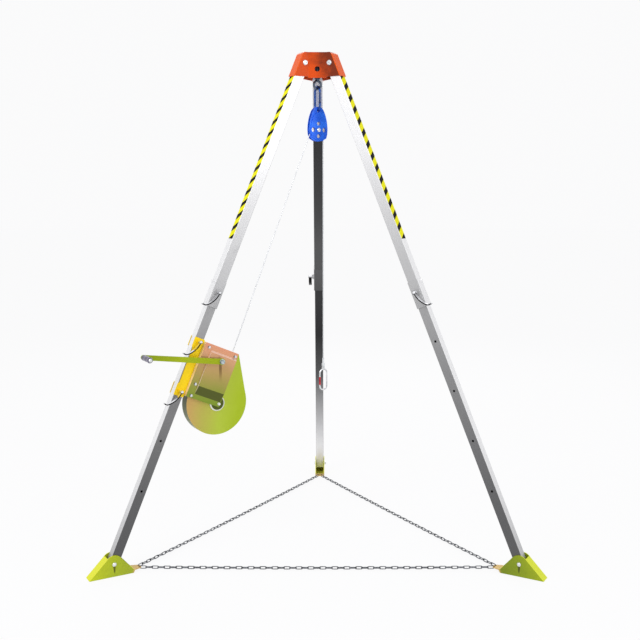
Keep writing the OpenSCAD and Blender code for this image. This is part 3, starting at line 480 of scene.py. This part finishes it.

# gear cover: the film turns from green to salmon up the leg, with painted shade on the bevel that
# looks down and on faces that look away from the leg, painted highlights on those that look up or
# to the leg, and a painted reflection of the hub, a dark streak straight below it
cover = {"stops": [(0.0, (126, 150, 44)), (0.2, (142, 152, 58)), (0.5, (182, 156, 92)),
                   (0.8, (214, 162, 122)), (1.0, (228, 154, 122))],
         "out": 0.5, "up": 3.7, "shift": 0.98, "cloud": 8.0, "drift": 0.2, "streak": (80, 80, 300),
         "low": ((0.12, 0.22), (84, 92, 34)), "lit": ((0.3, 0.6), (252, 222, 204)),
         "edge": ((0.5, 0.8), (255, 236, 218)), "far": ((0.5, 0.8), (150, 104, 76)),
         "hubRadius": 0.5341, "hubZ": 0.9191, "run": (104, 78, 40), "hubReflectionHalf": 0.009,
         "hubReflectionCore": 0.5, "hubReflectionTop": (0.008, 0.014), "hubReflectionLength": 0.105, "hubReflectionFade": 0.3,
         "hubReflectionShare": 0.75, "stain": (170, 130, 80), "stained": 0.03, "metallic": 0.5,
         "smooth": 0.27, "spread": 0.05, "bump": 0.006}


def coverRecipe(place):
    out, up = winchAxes(place)
    film = cloudsIn(place, cover["cloud"])
    fine = streaksIn(place, cover["streak"], zinc["turn"])
    drift = out * cover["out"] + up * cover["up"] + cover["shift"]
    colour = ramp(drift + film * cover["drift"] - cover["drift"] / 2, cover["stops"])
    # painted reflection of the hub: a dark streak straight below it
    r, z = facing(place, "left")[::2]
    beside = abs(r - cover["hubRadius"])
    below = -(z - cover["hubZ"])
    oil = (grade(-beside, -cover["hubReflectionHalf"], -cover["hubReflectionCore"] * cover["hubReflectionHalf"])
           * grade(below, *cover["hubReflectionTop"])
           * grade(-below, -cover["hubReflectionLength"], -cover["hubReflectionFade"] * cover["hubReflectionLength"]))
    colour = colourMix(oil * cover["hubReflectionShare"], colour, tint(*cover["run"]))
    # painted light and shade on the bevels: darker looking down or away from the leg, paler
    # looking up or to it
    nUp, nOut = legNormal(place, "left")[:2]
    for look, side in ((-nUp, "low"), (nUp, "lit"), (nOut, "edge"), (-nOut, "far")):
        limits, shade = cover[side]
        colour = colourMix(grade(look, *limits), colour, tint(*shade))
    return {
        "Base Color": colourMix(fine * cover["stained"], colour, tint(*cover["stain"])),
        "Metallic": cover["metallic"],
        "Roughness": fine * cover["spread"] + cover["smooth"],
        "Normal": bumpOf(fine + film * zinc["filmRelief"], cover["bump"], "film"),
        **zinc["sheen"],
    }


materials["coverZinc"] = finish("coverZinc", coverRecipe)

# drum shaft's boss: bright rim and nut, dull olive face between them, by distance from its axis
boss = {"centre": (-0.190, -0.232), "nut": 0.0085, "nutBlend": 0.0005, "rim": 0.0305,
        "rimBlend": 0.0006, "grain": 240.0, "bright": ((244, 244, 240), (220, 222, 214)),
        "dull": ((92, 104, 34), (70, 82, 26)), "metallic": 0.5, "smooth": 0.2, "spread": 0.2,
        "specular": 0.3, "bump": 0.04}


def bossRecipe(place):
    out, up = winchAxes(place)
    a, b = out - boss["centre"][0], up - boss["centre"][1]
    d = (a * a + b * b) ** 0.5
    face = (grade(d, boss["nut"], boss["nut"] + boss["nutBlend"])
            * grade(-d, -boss["rim"], boss["rimBlend"] - boss["rim"]))
    fine = grain(place, boss["grain"])
    bright, dull = twoTone(fine, *boss["bright"]), twoTone(fine, *boss["dull"])
    return {"Base Color": colourMix(face, bright, dull), "Metallic": boss["metallic"],
            "Roughness": fine * boss["spread"] + boss["smooth"],
            "Specular IOR Level": boss["specular"], "Normal": bumpOf(fine, boss["bump"])}


materials["bossZinc"] = finish("bossZinc", bossRecipe)

# small bolt heads: bright end, painted shade on the flanks
smallBolt = {"end": (0.7, 0.95), "grain": 400.0, "bright": ((240, 241, 244), (206, 208, 214)),
             "flank": (58, 58, 64), "metallic": 0.8, "smooth": 0.16, "spread": 0.2, "bump": 0.05}


def smallBoltRecipe(place):
    fine = grain(place, smallBolt["grain"], detail=2.0)
    # painted shade: flanks darker than the end that looks out
    end = grade(legNormal(place, "left")[2], *smallBolt["end"])
    bright = twoTone(fine, *smallBolt["bright"])
    return {"Base Color": colourMix(end, tint(*smallBolt["flank"]), bright),
            "Metallic": smallBolt["metallic"],
            "Roughness": fine * smallBolt["spread"] + smallBolt["smooth"],
            "Normal": bumpOf(fine, smallBolt["bump"])}


materials["coverBolt"] = finish("coverBolt", smallBoltRecipe)

# plate and web colours of each foot, the plate's from inner end to toe; one zinc, with painted
# shade darkening the right foot and painted light paling the rear one
footLitAndShadedTones = {
    "left": {"plate": ((164, 178, 44), (174, 190, 40), (202, 212, 30)),
             "web": ((248, 250, 24), (234, 238, 30))},
    "right": {"plate": ((122, 140, 30), (134, 154, 30), (166, 182, 28)),
              "web": ((236, 244, 22), (218, 228, 28))},
    "rear": {"plate": ((206, 208, 96), (216, 218, 96), (226, 228, 100)),
             "web": ((247, 246, 96), (238, 236, 100))},
}
# foot: yellow-green plates, painted light on the web and folded edges, tan tabs for the chain, and
# a painted reflection of the pin, a dark streak below it that tapers downwards
foot = {"cloud": 16.0, "streak": (140, 140, 60), "stops": (0.2, 0.5, 0.95), "toeward": 4.0,
        "upward": 1.2, "drift": 0.3, "shift": 0.36, "oil": (46, 48, 14), "pinReflectionShare": 0.8,
        "pinReflectionTaper": 0.1, "pinReflectionHalf": (-0.0075, -0.0055), "pinReflectionTop": (0.006, 0.01),
        "pinReflectionEnd": (-0.046, -0.03), "plateFace": (0.3, 0.6), "tabFrom": (0.080, 0.094),
        "tabLean": 0.3, "tabDrift": 0.01, "tab": ((226, 190, 120), (196, 158, 84)),
        "stain": (150, 150, 40), "metallic": 0.4, "smooth": 0.24, "spread": 0.2}


def footRecipe(name):
    tones = footLitAndShadedTones[name]

    def recipe(place):
        r, z = facing(place, name)[::2]
        r = r - leg["footRadius"]
        film = cloudsIn(place, foot["cloud"])
        fine = streaksIn(place, foot["streak"])
        drift = r * foot["toeward"] + z * foot["upward"] + film * foot["drift"] + foot["shift"]
        plate = ramp(drift, list(zip(foot["stops"], tones["plate"])))
        # painted reflection of the pin: a dark streak below it, tapering downwards
        below = leg["footPinZ"] - z
        oil = (grade(-(abs(r) + below * foot["pinReflectionTaper"]), *foot["pinReflectionHalf"])
               * grade(below, *foot["pinReflectionTop"]) * grade(-below, *foot["pinReflectionEnd"]))
        plate = colourMix(oil * foot["pinReflectionShare"], plate, tint(*foot["oil"]))
        # painted light: faces that do not look across the leg take the paler web colours
        web = 1.0 - grade(abs(legNormal(place, name)[2]), *foot["plateFace"])
        colour = colourMix(web, plate, twoTone(film, *tones["web"]))
        tab = grade(-r - z * foot["tabLean"] + film * foot["tabDrift"], *foot["tabFrom"])
        colour = colourMix(tab, colour, twoTone(film, *foot["tab"]))
        return {
            "Base Color": colourMix(fine * zinc["stained"], colour, tint(*foot["stain"])),
            "Metallic": foot["metallic"],
            "Roughness": fine * foot["spread"] + foot["smooth"],
            "Normal": bumpOf(fine + film * zinc["filmRelief"], zinc["bump"], "film"),
            **zinc["sheen"],
        }
    return recipe


for name in azimuth:
    materials[f"footZinc.{name}"] = finish(f"footZinc.{name}", footRecipe(name))
print("zinc finishes made")

coat = {
    "head_shell": "headPaint", "hinge_bolts": "boltSteel", "anchor_eye": "eyeSteel",
    "carabiner_body": "carabinerSteel", "carabiner_gate": "gateSteel",
    "pulley_front": "pulleyBlue", "pulley_rear": "pulleyBlue", "pulley_axle": "boltSteel",
    "sheave": "sheaveAlloy", "rope_socket": "boltSteel", "hook_body": "hookSteel",
    "hook_gate": "gateRed", "winch_bracket": "bracketZinc", "winch_plate": "plateZinc",
    "drum_housing": "housingZinc", "gearbox_cover": "coverZinc", "cover_bolts": "coverBolt",
    "drum_shaft": "bossZinc", "drum": "housingZinc", "drum_gear": "gearSteel",
    "layshaft": "gearSteel", "crank_shaft": "gearSteel", "crank_arm": "crankZinc",
    "crank_nut": "nutSteel", "grip_spindle": "boltSteel", "crank_grip": "gripChrome",
    "guide_roller": "rollerNylon", "guide_pin": "boltSteel",
    "winch_pin_upper": "winchHandle", "winch_pin_lower": "winchHandle",
}
for name in azimuth:
    coat[f"upper_tube_{name}"] = f"upperTube.{name}"
    coat[f"lower_tube_{name}"] = f"lowerTube.{name}"
    coat[f"collar_{name}"] = f"collar.{name}"
    coat[f"foot_{name}"] = f"footZinc.{name}"
    coat[f"foot_pin_{name}"] = "boltSteel"
    coat[f"lock_pin_{name}"] = f"lockHandle.{name}"
for name, material in coat.items():
    nodes[name].data.materials.clear()
    nodes[name].data.materials.append(materials[material])
print("solids coated:", len(coat))


def addPiece(name, points, faces, material):
    mesh = bpy.data.meshes.new(name)
    mesh.from_pydata(points.tolist(), [], faces)
    mesh.polygons.foreach_set("use_smooth", np.ones(len(faces), bool))
    mesh.materials.append(material)
    mesh.update()
    piece = bpy.data.objects.new(name, mesh)
    bpy.context.scene.collection.objects.link(piece)
    return piece


def ringFaces(rings, sides):
    a = np.arange(rings - 1)[:, None] * sides
    k = np.arange(sides)[None, :]
    n = (k + 1) % sides
    return np.stack([a + k, a + n, a + sides + n, a + sides + k], -1).reshape(-1, 4)


# rope wire: fine grain between two greys, broad clouds in the roughness
# strands laid round: r = R (core + crown |cos(3 (angle - 2 pi s / lay))|)
rope = {"radius": 0.0024, "core": 0.88, "crown": 0.12, "lay": 0.030, "sides": 24, "step": 0.0022,
        "leastRings": 4, "strands": 6, "aside": (0.5, -0.866, 0.001), "fine": 900.0, "cloud": 20.0,
        "grained": (0.3, 0.7), "greys": ((240, 241, 243), (196, 198, 202)), "metallic": 0.6,
        "smooth": 0.24, "spread": 0.25, "bump": 0.2}


def ropeRecipe(place):
    fine = grain(place, rope["fine"])
    broad = grain(place, rope["cloud"])
    return {
        "Base Color": twoTone(grade(fine, *rope["grained"]), *rope["greys"]),
        "Metallic": rope["metallic"],
        "Roughness": broad * rope["spread"] + rope["smooth"],
        "Normal": bumpOf(fine, rope["bump"], "wire"),
    }


materials["ropeWire"] = finish("ropeWire", ropeRecipe)


def ropePiece(name, route):
    span = np.linalg.norm(np.diff(route, axis=0), axis=1)
    s = np.concatenate([[0], np.cumsum(span)])
    count = max(int(s[-1] / rope["step"]), rope["leastRings"])
    even = np.linspace(0, s[-1], count)
    centre = np.stack([np.interp(even, s, route[:, k]) for k in range(3)], 1)
    along = np.gradient(centre, axis=0)
    along /= np.linalg.norm(along, axis=1)[:, None]
    first = np.cross(along, np.array(rope["aside"]))
    first /= np.linalg.norm(first, axis=1)[:, None]
    second = np.cross(along, first)
    angle = np.linspace(0, 2 * np.pi, rope["sides"], endpoint=False)
    twist = 2 * np.pi * even / rope["lay"]
    wave = np.abs(np.cos(rope["strands"] / 2 * (angle[None] - twist[:, None])))
    r = rope["radius"] * (rope["core"] + rope["crown"] * wave)
    spokes = (np.cos(angle)[None, :, None] * first[:, None]
              + np.sin(angle)[None, :, None] * second[:, None])
    points = centre[:, None] + r[..., None] * spokes
    faces = ringFaces(count, rope["sides"]).tolist()
    rim = np.arange(rope["sides"])
    faces += [rim[::-1].tolist(), (rim + (count - 1) * rope["sides"]).tolist()]
    return addPiece(name, points.reshape(-1, 3), faces, materials["ropeWire"])


# rope route in the winch leg's plane, as radius and height: tangents of sheave, roller and drum
run = {"sheave": np.array([0, 1.958244]), "roller": (-0.1974, -0.008), "sheavePitch": 0.0304,
       "rollerPitch": 0.0107, "drumPitch": 0.070, "socketZ": 0.862, "turns": 4,
       "windReach": 0.0209, "leadShare": 0.55, "bendSteps": 40, "rollerSteps": 9, "turnSteps": 97}


def legPlane(out, up):
    a = leg["winchAt"] - up
    return np.array([leg["pivotRadius"] + out * cosTilt + a * sinTilt,
                     leg["pivotZ"] + out * sinTilt - a * cosTilt])


# direction of the line that touches two circles, their radii signed by the side it passes on
def heading(a, sa, b, sb):
    d = b - a
    return math.atan2(d[1], d[0]) - math.asin((sb - sa) / np.linalg.norm(d))


def touch(c, s, h):
    return c - s * np.array([-math.sin(h), math.cos(h)])


def arc(centre, radius, angles):
    return centre + radius * np.stack([np.cos(angles), np.sin(angles)], 1)


def toRow(flat, across=0.0):
    ca, sa = compass["left"]
    flat = np.atleast_2d(flat)
    return np.stack([flat[:, 0] * ca - across * sa, flat[:, 0] * sa + across * ca, flat[:, 1]], 1)


quarter = math.pi / 2
rollerAt, drumAt = legPlane(*run["roller"]), legPlane(*boss["centre"])
leadH = heading(run["sheave"], -run["sheavePitch"], rollerAt, -run["rollerPitch"])
tailH = heading(rollerAt, -run["rollerPitch"], drumAt, run["drumPitch"])
leadA = touch(run["sheave"], -run["sheavePitch"], leadH)
tailB = touch(drumAt, run["drumPitch"], tailH)
rollerTurn = np.linspace(leadH + quarter, tailH + quarter, run["rollerSteps"])
overRoller = arc(rollerAt, run["rollerPitch"], rollerTurn)
leadMid = leadA + run["leadShare"] * (overRoller[0] - leadA)
sheaveTurn = np.linspace(leadH + quarter, math.pi, run["bendSteps"])
overSheave = arc(run["sheave"], run["sheavePitch"], sheaveTurn)
fallX = -run["sheavePitch"]

ropeBend = ropePiece("ropeBend", toRow(overSheave[::-1]))
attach(ropeBend, "head")
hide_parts("rope_bend")

leadUpper = ropePiece("ropeLeadUpper", toRow(np.array([leadA, leadMid])))
tuple(toRow(leadA)[0])
tuple(toRow(leadMid)[0])
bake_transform(leadUpper)
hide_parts("rope_lead")

leadLower = ropePiece("ropeLeadLower", toRow(np.vstack([leadMid, overRoller, tailB])))
tuple(toRow(leadMid)[0])
tuple(toRow(overRoller[0])[0])
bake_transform(leadLower)
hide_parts("rope_lead")

# the fall hangs straight from the sheave to the hook's socket; its rise is given but not used here
fall = {"top": run["sheave"][1], "low": run["socketZ"], "rise": 0.66}
ropeFall = ropePiece("ropeFall", toRow(np.array([[fallX, fall["top"]], [fallX, fall["low"]]])))
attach(ropeFall, "head")
tuple(toRow([fallX, fall["top"]])[0])
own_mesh(ropeFall)
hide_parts("rope_fall")

turnsRound = np.linspace(0, run["turns"], run["turnSteps"] * run["turns"])
windFlat = arc(drumAt, run["drumPitch"], tailH - quarter + 2 * np.pi * turnsRound)
winding = ropePiece("ropeWinding", toRow(windFlat, -run["windReach"] / run["turns"] * turnsRound))
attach(winding, "drum")
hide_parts("rope_winding")
print("rope laid")

# chain: oval links, each turned a quarter from the last, hanging z = -sag (1 - u u)
# each half run is three stretches, parted at the links numbered footSpan and legSpan
chain = {"wire": 0.002, "pitch": 0.0275, "clear": 0.007, "sag": 0.004, "z": 0.014, "pull": 0.0016,
         "eyeIn": 0.118, "eyeSide": 0.008, "sides": 10, "bends": 10, "straights": 9, "weld": 0.14,
         "weldReach": 0.0022, "play": 0.00012}
linkRadius = (chain["clear"] + 2 * chain["wire"]) / 2
linkEnd = (chain["pitch"] + 2 * chain["wire"]) / 2
footSpan, legSpan = 2, 17


def linkForm():
    flat = linkEnd - linkRadius
    half = np.linspace(-quarter, quarter, chain["bends"])
    outer = np.stack([flat + linkRadius * np.cos(half), linkRadius * np.sin(half)], 1)
    side = np.linspace(flat, -flat, chain["straights"])[1:-1]
    straight = np.stack([side, np.full(len(side), linkRadius)], 1)
    path = np.vstack([outer, straight, -outer, -straight])
    ahead, back = np.roll(path, -1, 0), np.roll(path, 1, 0)
    along = (ahead - back) / np.linalg.norm(ahead - back, axis=1)[:, None]
    normal = np.stack([along[:, 1], -along[:, 0]], 1)
    bulge = chain["weld"] * np.exp(-(path[:, 0] / chain["weldReach"]) ** 2) * (path[:, 1] < 0)
    angle = np.linspace(0, 2 * np.pi, chain["sides"], endpoint=False)
    r = chain["wire"] * (1 + bulge)
    xy = path[:, None] + (r[:, None] * np.cos(angle))[..., None] * normal[:, None]
    z = np.broadcast_to(r[:, None] * np.sin(angle), xy.shape[:2])
    points = np.concatenate([xy, z[..., None]], -1).reshape(-1, 3)
    count = len(path)
    faces = ringFaces(count + 1, chain["sides"]) % (count * chain["sides"])
    return points, faces


linkPoints, linkFaces = linkForm()


def chainEye(name, s):
    r, w = leg["footRadius"] - chain["eyeIn"], s * chain["eyeSide"]
    ca, sa = compass[name]
    return np.array([r * ca - w * sa, r * sa + w * ca, chain["z"]])


def turned(points, axis, angle):
    c, s = math.cos(angle), math.sin(angle)
    x, y, z = points.T
    if axis == "x":
        return np.stack([x, c * y - s * z, s * y + c * z], 1)
    if axis == "y":
        return np.stack([c * x + s * z, y, c * z - s * x], 1)
    return np.stack([c * x - s * y, s * x + c * y, z], 1)


# the longer half takes the middle link; slope of the sag = 8 sag (x / length - 0.5) / length
def chainHalf(here, there, hereSide, thereSide, longer):
    a, b = chainEye(here, hereSide), chainEye(there, thereSide)
    length = np.linalg.norm(b - a)
    free = length - 2 * linkEnd - 2 * chain["pull"]
    count = 2 * math.ceil(free / 2 / (chain["pitch"] - chain["play"])) + 1
    step = free / (count - 1)
    last = (count - 1) // 2 if longer else (count - 3) // 2
    heads = math.atan2(b[1] - a[1], b[0] - a[0])
    links, places = [], []
    for k in range(last + 1):
        x = linkEnd + chain["pull"] + k * step
        u = 2 * x / length - 1
        form = turned(linkPoints, "x", quarter if k % 2 == 0 else 0)
        form = turned(form, "y", -math.atan(8 * chain["sag"] * (x / length - 0.5) / length))
        form = turned(form + [x, 0, -chain["sag"] * (1 - u * u)], "z", heads) + a
        links.append(form)
        places.append(form.mean(0))
    node = f"chain_{here}_{'front' if {here, there} == {'left', 'right'} else there}"
    stretches = {"foot": (0, footSpan, f"lower_leg_{here}", f"foot_{here}", places[footSpan], a),
                 "leg": (footSpan, legSpan, f"upper_leg_{here}", f"lower_leg_{here}",
                         places[legSpan], places[footSpan]),
                 "inner": (legSpan, last + 1, "head", f"upper_leg_{here}",
                           (a + b) / 2, places[legSpan])}
    for part, (k0, k1, first, second, start, end) in stretches.items():
        points = np.vstack(links[k0:k1])
        faces = np.vstack([linkFaces + n * len(linkPoints) for n in range(k1 - k0)]).tolist()
        piece = addPiece(f"{node}.{part}", points, faces, materials["chainSteel"])
        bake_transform(piece)
        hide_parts(node)


halfRuns = [("left", "right", 1, -1, True), ("right", "left", -1, 1, False),
            ("right", "rear", 1, -1, True), ("rear", "right", -1, 1, False),
            ("rear", "left", 1, -1, False), ("left", "rear", -1, 1, True)]
for halfRun in halfRuns:
    chainHalf(*halfRun)
print("chains hung")

# stage: pale floor just under the feet, soft light
stage = {"reach": 40, "drop": 0.0005, "cloud": 3.0, "pale": ((246, 246, 246), (250, 250, 250)),
         "rough": 0.9, "glow": (0.995, 0.995, 1.0, 1.0), "glowShare": 0.9,
         "soft": (0.98, 0.98, 1.0, 1.0), "softPower": 0.62, "backdrop": (0.96, 0.96, 0.965, 1.0)}
corners = [(x * stage["reach"], y * stage["reach"], 0)
           for x, y in ((-1, -1), (1, -1), (1, 1), (-1, 1))]
floorMesh = bpy.data.meshes.new("floor")
floorMesh.from_pydata(corners, [], [(0, 1, 2, 3)])
floor = bpy.data.objects.new("floor", floorMesh)
floor.location.z = -stage["drop"]
bpy.context.scene.collection.objects.link(floor)


def floorRecipe(place):
    return {"Base Color": twoTone(grain(place, stage["cloud"]), *stage["pale"]),
            "Roughness": stage["rough"]}


# 1 where a point is looked at, straight, in a mirror or through glass,
# and 0 where it only gives light
def lookedAt(tree):
    rays = tree.nodes.new("ShaderNodeLightPath").outputs
    seen, mirrored, passed = [Wire(tree, rays[f"Is {kind} Ray"])
                              for kind in ("Camera", "Glossy", "Transmission")]
    return seen + mirrored + passed


def shareOut(tree, share, first, second, end):
    shaders = {0: share, 1: Wire(tree, first.outputs[0]), 2: Wire(tree, second.outputs[0])}
    both = share.node("ShaderNodeMixShader", shaders)
    tree.links.new(both.socket, tree.nodes[end].inputs["Surface"])


# most of what is seen of the floor is its own paleness, so that it meets the backdrop
pale = finish("floorPale", floorRecipe)
tree = pale.node_tree
glow = tree.nodes.new("ShaderNodeEmission")
glow.inputs["Color"].default_value = stage["glow"]
shareOut(tree, lookedAt(tree) * stage["glowShare"], tree.nodes["Principled BSDF"], glow,
         "Material Output")
floorMesh.materials.append(pale)

world = bpy.data.worlds.new("studio")
bpy.context.scene.world = world
world.use_nodes = True
tree = world.node_tree
soft = tree.nodes["Background"]
soft.inputs["Color"].default_value = stage["soft"]
soft.inputs["Strength"].default_value = stage["softPower"]
backdrop = tree.nodes.new("ShaderNodeBackground")
backdrop.inputs["Color"].default_value = stage["backdrop"]
shareOut(tree, lookedAt(tree), soft, backdrop, "World Output")
lights = {
    "key": {"place": (-2.5, -4.0, 4.5), "aim": (0, 0, 1.2), "size": 2.5, "power": 108},
    "fill": {"place": (3.5, -3.5, 2.5), "aim": (0, 0, 1.0), "size": 3.0, "power": 40},
    "back": {"place": (0.5, 4.5, 4.0), "aim": (0, 0, 1.2), "size": 3.0, "power": 50},
}
for name, facts in lights.items():
    data = bpy.data.lights.new(name, "AREA")
    data.size = facts["size"]
    data.energy = facts["power"]
    lamp = bpy.data.objects.new(name, data)
    lamp.location = facts["place"]
    reach = np.array(facts["aim"]) - np.array(facts["place"])
    tip = math.atan2(math.hypot(reach[0], reach[1]), -reach[2])
    lamp.rotation_euler = (tip, 0, math.atan2(-reach[0], reach[1]))
    bpy.context.scene.collection.objects.link(lamp)
bpy.context.scene.view_settings.view_transform = "Standard"
print("stage set")
